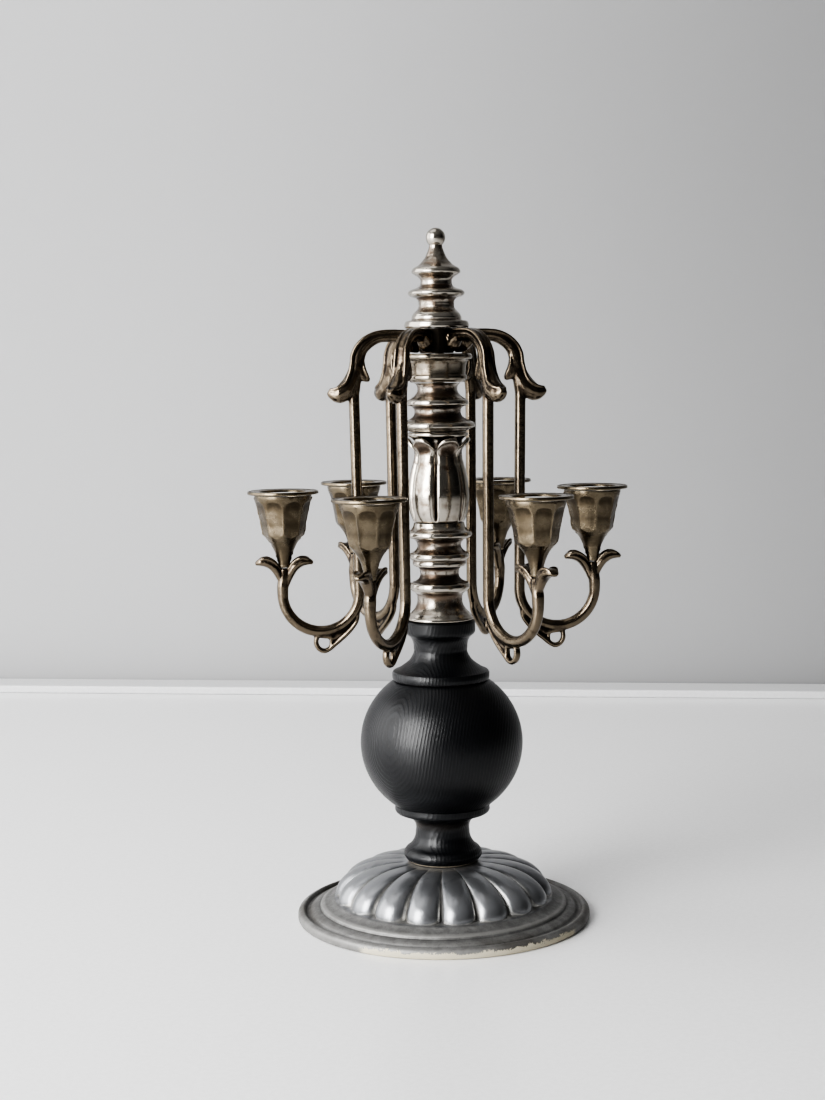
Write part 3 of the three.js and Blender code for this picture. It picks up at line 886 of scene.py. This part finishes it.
# %% Bars grown along a path
def smooth_path(points, steps=5):
    """A smooth line through the given points, as a list with so many steps for each stretch."""
    padded = [points[0], *points, points[-1]]
    line = []
    for before, start, end, after in zip(padded, padded[1:], padded[2:], padded[3:]):
        for step in range(steps):
            t = step / steps
            line.append(tuple(
                0.5 * (2 * s + (e - b) * t + (2 * b - 5 * s + 4 * e - a) * t * t
                       + (3 * s - b - 3 * e + a) * t ** 3)
                for b, s, e, a in zip(before, start, end, after)))
    return line + [points[-1]]


def size_at(sizes, share):
    place = share * (len(sizes) - 1)
    index = min(int(place), len(sizes) - 2)
    return sizes[index] + (sizes[index + 1] - sizes[index]) * (place - index)


def grow_bar(name, path, thick, wide, aside=(0, 0), sides=14):
    """path is (out, height) in millimetres, in the plane of the arm. thick is the half size in that
    plane, wide the half size across it, and aside how far the bar lies to one side of it."""
    last = len(path) - 1
    drop_selection()
    bpy.ops.mesh.primitive_circle_add(vertices=sides, radius=MM, fill_type="NGON")
    piece = name_new_piece(name)
    edit_all(piece)
    was = (thick[0], wide[0], 0.0)
    bpy.ops.transform.resize(value=(thick[0], wide[0], 1))
    bpy.ops.transform.translate(value=(path[0][0] * MM, aside[0] * MM, path[0][1] * MM))
    centre = Vector((path[0][0], aside[0], path[0][1])) * MM
    for index in range(last + 1):
        (x0, z0), (x1, z1) = path[max(index - 1, 0)], path[min(index + 1, last)]
        heading = math.atan2(x1 - x0, z1 - z0)
        share = index / last
        now = (size_at(thick, share), size_at(wide, share))
        if index:
            there = Vector((path[index][0], size_at(aside, share), path[index][1])) * MM
            step = tuple(there - centre)
            bpy.ops.mesh.extrude_region_move(TRANSFORM_OT_translate={"value": step})
            centre = there
        if abs(heading - was[2]) > 1e-6:
            turn_selection(math.remainder(heading - was[2], 2 * math.pi), "Y", centre)
        grown = (now[0] / was[0], now[1] / was[1], now[0] / was[0])
        if index and max(abs(g - 1) for g in grown) > 1e-6:
            bpy.ops.transform.resize(value=grown, center_override=centre)
        was = (*now, heading)
    tidy_mesh(piece)
    return piece


def grow_pair(name, path, thick, wide, spread):
    """Two thin bars alike, one on each side of the arm's plane."""
    return [grow_bar(name, path, thick, wide, [side * s for s in spread], 8) for side in (1, -1)]


# %% The arm's stretches
ARMS = 6
HOOK_CENTRE = (52.4, 146.6)
HOOK_RADIUS = 16.9
ROD = 2.4
CUP_AXIS = (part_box("candle_cup_1")[0].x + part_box("candle_cup_1")[1].x) / 2 / MM
HUB_BASE = base_of("hub_core")


def arm_root():
    """The block that rests on the collar, and a knuckle where the arch grows out of it."""
    middle = HUB_BASE + height_of("hub_core") / 2
    block = smooth_path([(7.9, middle), (9.5, middle), (11.0, middle + 0.1), (12.4, middle + 0.6)], 3)
    knuckle = [(9.5, middle - 2.2), (12.2, middle - 1.6), (14.2, middle + 0.4), (17.0, 258.2)]
    return [
        grow_bar("root", block, [5.1, 5.2, 5.0, 4.2], [2.1, 2.8, 3.5, 3.4], sides=20),
        grow_bar("knuckle", smooth_path(knuckle, 3), [2.6, 2.8, 2.6, 2.2], [2.6, 3.2, 3.0, 2.4], sides=16),
    ]


def arch_stretches():
    arch = smooth_path([(10, 258.5), (18, 258.5), (24.5, 258.4), (29.3, 256.6), (33.2, 252.7),
                        (34.9, 247), (35.8, 241), (36.6, 234)])
    rim = smooth_path([(14, 260.6), (24.5, 260.5), (30.6, 258.5), (34.8, 254.9), (37.0, 250.6),
                       (37.5, 246.7), (38.6, 242.2), (40.4, 238.5), (43.8, 236.3), (47.4, 235.5)])
    leaf = smooth_path([(35.2, 246), (36.9, 240.4), (39.6, 235.6), (43.2, 233.4), (46.2, 233.9),
                        (47.8, 234.9)])
    barb = smooth_path([(34.8, 249), (33.9, 244.4), (32.6, 241.2), (30.7, 239.8), (29.5, 239.6)])
    barb_rim = smooth_path([(31.9, 250.4), (32.3, 247.2), (31.5, 243.8), (30.3, 241.0), (29.6, 239.9)])
    made = [
        grow_bar("arch", arch, [2.7, 2.7, 2.7, 3.0, 3.0, 3.0, 2.8, 2.6],
                 [2.5, 2.5, 2.6, 2.6, 2.7, 2.8, 2.7, 2.4]),
        grow_bar("leaf", leaf, [2.8, 3.6, 4.3, 3.9, 2.4, 0.9], [2.4, 3.0, 3.7, 3.7, 2.6, 1.1]),
        grow_bar("barb", barb, [2.8, 2.7, 2.0, 1.2, 0.5], [2.2, 2.5, 2.3, 1.6, 0.7]),
    ]
    made += grow_pair("rim", rim, [0.75, 0.8, 0.8, 0.75, 0.6], [0.7, 0.75, 0.8, 0.8, 0.6],
                      (2.0, 2.1, 2.2, 2.2, 2.3, 2.4, 2.6, 3.0, 2.9, 0.9))
    made += grow_pair("barb_rim", barb_rim, [0.5, 0.7, 0.7, 0.5], [0.5, 0.7, 0.7, 0.5],
                      (1.4, 1.8, 2.0, 1.6, 0.5))
    return made


def hook_stretches():
    x, z = HOOK_CENTRE
    rod = [(36.6, 236), (36.3, 215), (36.0, 195), (35.75, 170), (x - HOOK_RADIUS, z - 2)]
    turns = [math.pi + math.pi * i / 30 for i in range(31)]
    hook = [(x + HOOK_RADIUS * math.cos(a), z + HOOK_RADIUS * math.sin(a)) for a in turns]
    limb = smooth_path([(x + HOOK_RADIUS - 0.1, z - 2), (69.2, 150), (68.6, 154), (CUP_AXIS, 158.0)], 3)
    return [
        grow_bar("rod", rod, [ROD, ROD], [ROD, ROD], sides=18),
        grow_bar("hook", hook, [ROD, ROD * 1.04, ROD], [ROD, ROD], sides=18),
        grow_bar("limb", limb, [ROD, 2.6, 2.4, 2.1], [ROD, 2.7, 2.5, 2.1], sides=18),
    ]


def loop_stretches():
    """The strip under the hook, the web that fills it, and the small D-shaped eye at its end."""
    strip = smooth_path([(36.4, 139), (36.9, 134.2), (39.6, 130.2), (43.0, 126.9), (46.6, 123.9),
                         (49.2, 121.8), (51.5, 120.9), (53.8, 122.0), (55.0, 124.4), (54.6, 127.4),
                         (53.6, 129.8)])
    web = smooth_path([(38.6, 134.0), (41.4, 131.2), (44.6, 128.4), (47.6, 126.2)])
    eye_side = smooth_path([(48.6, 122.6), (48.3, 124.9), (48.6, 127.6)])
    eye_top = smooth_path([(47.8, 126.9), (51.4, 127.2), (54.8, 127.8)])
    return [
        grow_bar("strip", strip, [0.9, 1.1, 1.15, 1.15, 1.1], [1.6, 1.8, 1.8, 1.7, 1.5], sides=12),
        grow_bar("web", web, [1.6, 2.6, 2.4, 1.5], [1.1, 1.2, 1.2, 1.1], sides=10),
        grow_bar("eye_side", eye_side, [0.9, 0.9], [1.4, 1.4], sides=10),
        grow_bar("eye_top", eye_top, [0.8, 0.8], [1.4, 1.5], sides=10),
    ]


def cup_leaf_stretches():
    made = []
    for side in (1, -1):
        def beside(points, direction=side):
            return smooth_path([(CUP_AXIS + direction * out, height) for out, height in points])

        leaf = beside([(0.4, 150.5), (2.2, 155.0), (4.7, 158.7), (7.9, 160.6), (10.8, 160.7),
                       (12.6, 159.9)])
        crest = beside([(1.6, 157.5), (3.9, 160.6), (7.0, 162.4), (9.9, 162.3), (12.0, 160.9)])
        made.append(grow_bar("cup_leaf", leaf, [1.6, 2.0, 2.1, 2.0, 1.6, 0.7],
                             [1.8, 2.3, 3.0, 3.3, 2.8, 1.2]))
        made += grow_pair("crest", crest, [0.5, 0.7, 0.75, 0.7, 0.5], [0.5, 0.7, 0.8, 0.7, 0.5],
                          (1.3, 2.2, 2.7, 2.5, 0.9))
    return made


# %% Join, remesh and copy the arm
def make_arm():
    parts = [*arm_root(), *arch_stretches(), *hook_stretches(), *loop_stretches(), *cup_leaf_stretches()]
    drop_selection()
    for part in parts:
        part.select_set(True)
    bpy.context.view_layer.objects.active = parts[0]
    bpy.ops.object.join()
    arm = name_new_piece("cast_arm_1")
    add_modifier(arm, "REMESH", mode="VOXEL", voxel_size=0.36 * MM, adaptivity=0.0)
    add_modifier(arm, "SMOOTH", factor=0.5, iterations=5)
    tidy_mesh(arm, 0.00002)
    mark_relief(arm, rounds=16, reach=0.28)
    smooth_shading(arm, 80)
    return arm


def copy_round(piece, name, turns):
    """Copies a finished piece with its own mesh, and turns the copy about the stem."""
    activate(piece)
    bpy.ops.object.duplicate()
    copy = name_new_piece(name)
    copy.data.transform(Matrix.Rotation(turns * 2 * math.pi / ARMS, 4, "Z"))
    copy.data.update()
    return copy


def settle_round(first, label, material, slot, node):
    """Copies the first piece to the five other arms, and settles all six on the crown."""
    pieces = [first] + [copy_round(first, f"{label}_{n}", n - 1) for n in range(2, ARMS + 1)]
    for number, piece in enumerate(pieces, start=1):
        settle(piece, "crown", material, slot, f"{node}_{number}")
    print(label, "in place:", len(pieces))


settle_round(make_arm(), "cast_arm", arm_nickel, "aged_nickel", "arm")

# %% [markdown]
# ## The candle cups
#
# A cup is turned, and then eight hollow panels are pressed into its side, with a narrow rib between
# each two. The two halves of its mould met in the plane of the arm and left a rough seam there.

# %% Candle cup
PANELS = 8
PANEL_DEPTH = 0.55
PANEL_TOP = 29.6
PANEL_BOTTOM = 13.4
PANEL_SHARE = 0.93
SEAM = 0.45


def press_panel(azimuth, height):
    """How far the cup's side is pressed in at a place: hollow flutes with round ends."""
    off_centre = min(1.0, off_middle(azimuth, PANELS) / PANEL_SHARE)
    hollow = (1 - off_centre ** 2) ** 0.75
    arch = PANEL_TOP - 3.2 * (1 - (1 - off_centre ** 2) ** 0.5)
    sill = PANEL_BOTTOM + 1.6 * off_centre ** 2
    top = min(max((arch - height) / 2.2, 0), 1)
    bottom = min(max((height - sill) / 1.6, 0), 1)
    return PANEL_DEPTH * hollow * (top * (2 - top)) * (bottom * (2 - bottom))


def shape_cup(azimuth, radius, height):
    """Presses the panels in, and raises the rough seam in the plane of the arm."""
    azimuth = math.remainder(azimuth - math.pi / 2, 2 * math.pi)
    outer = radius > 8.0 + max(0, height - 18) * 0.25 and 13 < height < 31
    moved = -press_panel(azimuth, height) if outer else 0.0
    off_seam = min(abs(azimuth), math.pi - abs(azimuth)) * radius
    if off_seam < SEAM and 3 < height < 31 and (outer or height < 13):
        rough = noise.noise(Vector((3.1, azimuth, height * 0.9)))
        moved += (0.28 + 0.4 * rough) * (1 - off_seam / SEAM)
    return (radius + moved, height) if moved and radius > 1 else None


def finish_on_arm(piece, rounds, reach):
    """Takes a piece from the stem's axis to the cup's place on the first arm, and finishes it."""
    piece.data.transform(Matrix.Translation((CUP_AXIS * MM, 0, 0)))
    mark_relief(piece, rounds, reach)
    smooth_shading(piece, 50)
    return piece


def make_cup():
    top = height_of("candle_cup_1")
    base = base_of("candle_cup_1")
    outline = [
        (0, 0.2), (2.2, 0.2), (2.5, 0.6), ((2.8, 3.2), (3.5, 6.0)), ((4.9, 9.6), (6.9, 12.4)),
        ((7.9, 13.5), (8.6, 14.3)), ((9.0, 15.0), (9.3, 16.2)), (9.75, 19.5), (10.3, 22.0),
        (10.8, 24.2), (11.3, 26.6), (11.8, 28.6), ((12.3, 30.2), (12.5, 31.2)), (12.5, top - 0.1),
        (10.25, top - 0.1), (9.6, 29.0), (8.3, 22.5), (7.1, 17.2), ((6.9, 16.6), (6.3, 16.5)),
        (0, 16.5),
    ]
    piece = turn("panelled_cup_1", expand(outline, 6), base, columns=144, bevel=0)
    add_modifier(piece, "SUBSURF", levels=1, render_levels=1, subdivision_type="SIMPLE")
    reshape(piece, base, shape_cup)
    return finish_on_arm(piece, rounds=16, reach=0.25)


def make_pan():
    thick = height_of("drip_pan_1")
    outline = [
        (10.4, 0.2), (12.9, 0.1), (14.7, 0.0), ((15.45, 0.2), (15.57, 0.75)),
        ((15.45, 1.3), (15.1, thick)), (14.9, thick - 0.15), (12.5, thick - 0.25),
        (10.9, thick - 0.2), (10.4, thick - 0.5), (10.4, 0.2),
    ]
    piece = turn("drip_pan_ring_1", expand(outline, 5), base_of("drip_pan_1"), columns=96, bevel=0)
    for vertex in piece.data.vertices:
        wave = noise.noise(Vector((vertex.co.x, vertex.co.y, 0)) * 90)
        vertex.co.z += 0.05 * MM * wave
    return finish_on_arm(piece, rounds=8, reach=0.3)


settle_round(make_cup(), "panelled_cup", cup_nickel, "cup_nickel", "candle_cup")
settle_round(make_pan(), "drip_pan_ring", cup_nickel, "cup_nickel", "drip_pan")
print("cups and pans:", PANELS, "panels on each cup")

# %% [markdown]
# ## Hardware
#
# The rod, washer, nut and the sleeve at the hub keep their CAD shape: they are plain and nearly
# hidden. They get the steel finish, and the sleeve the grime and painted shade of the hub.

# %% Hardware finishes
hardware = dict.fromkeys(("tie_rod", "foot_washer", "foot_nut"), plain_steel)
hardware["hub_core"] = hub_grime_and_shade
for node, finish in hardware.items():
    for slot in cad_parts[node].material_slots:
        slot.material = finish
    print(node, "gets", finish.name)

# %% [markdown]
# ## Table, wall and light
#
# The table is a pale satin slab that ends in a low lip a good way behind the object, with a grey
# wall after it. The wall is one-sided, so that a camera behind it looks through. A soft window in
# front on the left lights the object, a second one stands farther round on the left, and the
# ceiling gives a little. The room is dim on the right, and plain grey where the camera sees it.

# %% Stage
TABLE_EDGE = Vector((0.0357, 0.589, 0.0))
TABLE_TURN = math.radians(-11.7)
TABLE_SIZE = (8, 4, 0.03)
LIP_SIZE = (8, 0.033, 0.0058)


def plain_material(name, colour, roughness, speckle=0.0, shade=0.0):
    """A plain finish with faint specks. It may carry painted shade: darker upwards by the share shade,
    and twice that towards +X."""
    material, tree, shader, place = new_material(name)
    tone = noise_value(tree, place, 9, 3)
    grains = step_between(tree, noise_value(tree, place, 420, 2), 0.35, 0.65)
    low = tuple(c * (1 - speckle) for c in colour)
    flecked = blend_colour(tree, grains, low, colour)
    cloudy = blend_colour(tree, times(tree, tone, 0.06), flecked, (0.5, 0.5, 0.5))
    split = add_node(tree, "SeparateXYZ", {0: place}).outputs
    # Painted shade: the colour darkens towards +X and upwards, where the window's light falls off.
    dim = plus(tree, step_between(tree, split["X"], -0.2, 0.5, 0.0, 2 * shade),
               step_between(tree, split["Z"], 0.0, 0.5, 0.0, shade))
    tree.links.new(blend_colour(tree, dim, cloudy, (0, 0, 0)), shader.inputs["Base Color"])
    shader.inputs["Roughness"].default_value = roughness
    return material, tree, shader


def turn_to_edge(piece, material):
    """Turns the open mesh in line with the table's far edge, takes it there and paints it."""
    turn_selection(TABLE_TURN, "Z")
    bpy.ops.transform.translate(value=TABLE_EDGE)
    bpy.ops.object.mode_set(mode="OBJECT")
    paint(piece, material)
    return piece


def add_slab(name, size, bottom, bevel, segments, material):
    """A slab whose far side lies along the table's far edge."""
    drop_selection()
    bpy.ops.mesh.primitive_cube_add(size=1)
    slab = name_new_piece(name)
    edit_all(slab)
    bpy.ops.transform.resize(value=size)
    bpy.ops.transform.translate(value=(0, -size[1] / 2, bottom + size[2] / 2))
    bpy.ops.mesh.bevel(offset=bevel, segments=segments, affect="EDGES")
    return turn_to_edge(slab, material)


def add_wall():
    drop_selection()
    bpy.ops.mesh.primitive_plane_add(size=6)
    wall = name_new_piece("wall")
    edit_all(wall)
    turn_selection(math.radians(90), "X")
    bpy.ops.transform.translate(value=(0, 0.02, 0.5))
    # The wall's colour carries painted shade, darker to the right and upwards.
    material, tree, shader = plain_material("grey_wall", (0.38, 0.38, 0.383), 0.8, shade=0.15)
    back = tree.nodes.new("ShaderNodeNewGeometry").outputs["Backfacing"]
    see_through = tree.nodes.new("ShaderNodeBsdfTransparent").outputs[0]
    one_sided = add_node(tree, "MixShader", {0: back, 1: shader.outputs[0], 2: see_through})
    output = next(n for n in tree.nodes if n.type == "OUTPUT_MATERIAL")
    tree.links.new(one_sided.outputs[0], output.inputs["Surface"])
    return turn_to_edge(wall, material)


table_paint = plain_material("pale_table", (0.82, 0.82, 0.82), 0.28, 0.04)[0]
lip_paint = plain_material("lip_paint", (0.60, 0.60, 0.605), 0.5, 0.04)[0]
add_slab("table", TABLE_SIZE, -TABLE_SIZE[2], 0.004, 4, table_paint)
add_slab("table_lip", LIP_SIZE, 0, 0.0012, 3, lip_paint)
facing = add_wall().data.polygons[0].normal.y
print("wall faces the front:", facing < 0)

# %% Lights
ROOM_GREY = 0.4


def add_window(name, place, size, power, target=(0, 0, 0.16)):
    """A soft rectangular light that faces the object."""
    bpy.ops.object.light_add(type="AREA", location=place)
    light = bpy.context.object
    light.name = name
    light.data.shape = "RECTANGLE"
    light.data.size, light.data.size_y = size
    light.data.energy = power
    light.rotation_euler = (Vector(target) - Vector(place)).to_track_quat("-Z", "Y").to_euler()


def light_room():
    """The room's own light: paler on the left and overhead, dim on the right. What the camera sees
    of it, past the table and the wall, is a plain grey."""
    world = bpy.data.worlds.new("dim_room")
    bpy.context.scene.world = world
    world.use_nodes = True
    tree = world.node_tree
    background = next(n for n in tree.nodes if n.type == "BACKGROUND")
    direction = tree.nodes.new("ShaderNodeTexCoord").outputs["Generated"]
    split = add_node(tree, "SeparateXYZ", {0: direction}).outputs
    side = step_between(tree, split["X"], -0.9, 0.0, 0.16, 0.02)
    above = step_between(tree, split["Z"], 0.3, 0.95, 0.0, 0.22)
    front = step_between(tree, split["Y"], -0.25, -1.0, 0.0, 0.09)
    strength = plus(tree, side, above, front)
    seen = tree.nodes.new("ShaderNodeLightPath").outputs["Is Camera Ray"]
    strength = blend_value(tree, seen, strength, ROOM_GREY)
    feed(tree, background, {"Color": (1, 1, 1), "Strength": strength})


add_window("window_left", (-1.08, -0.93, 0.64), (0.85, 1.2), 44)
add_window("window_side", (-1.48, 0.1, 0.66), (1.6, 1.3), 24)
add_window("ceiling_bounce", (-0.6, 0.1, 1.9), (1.4, 1.4), 7)
light_room()
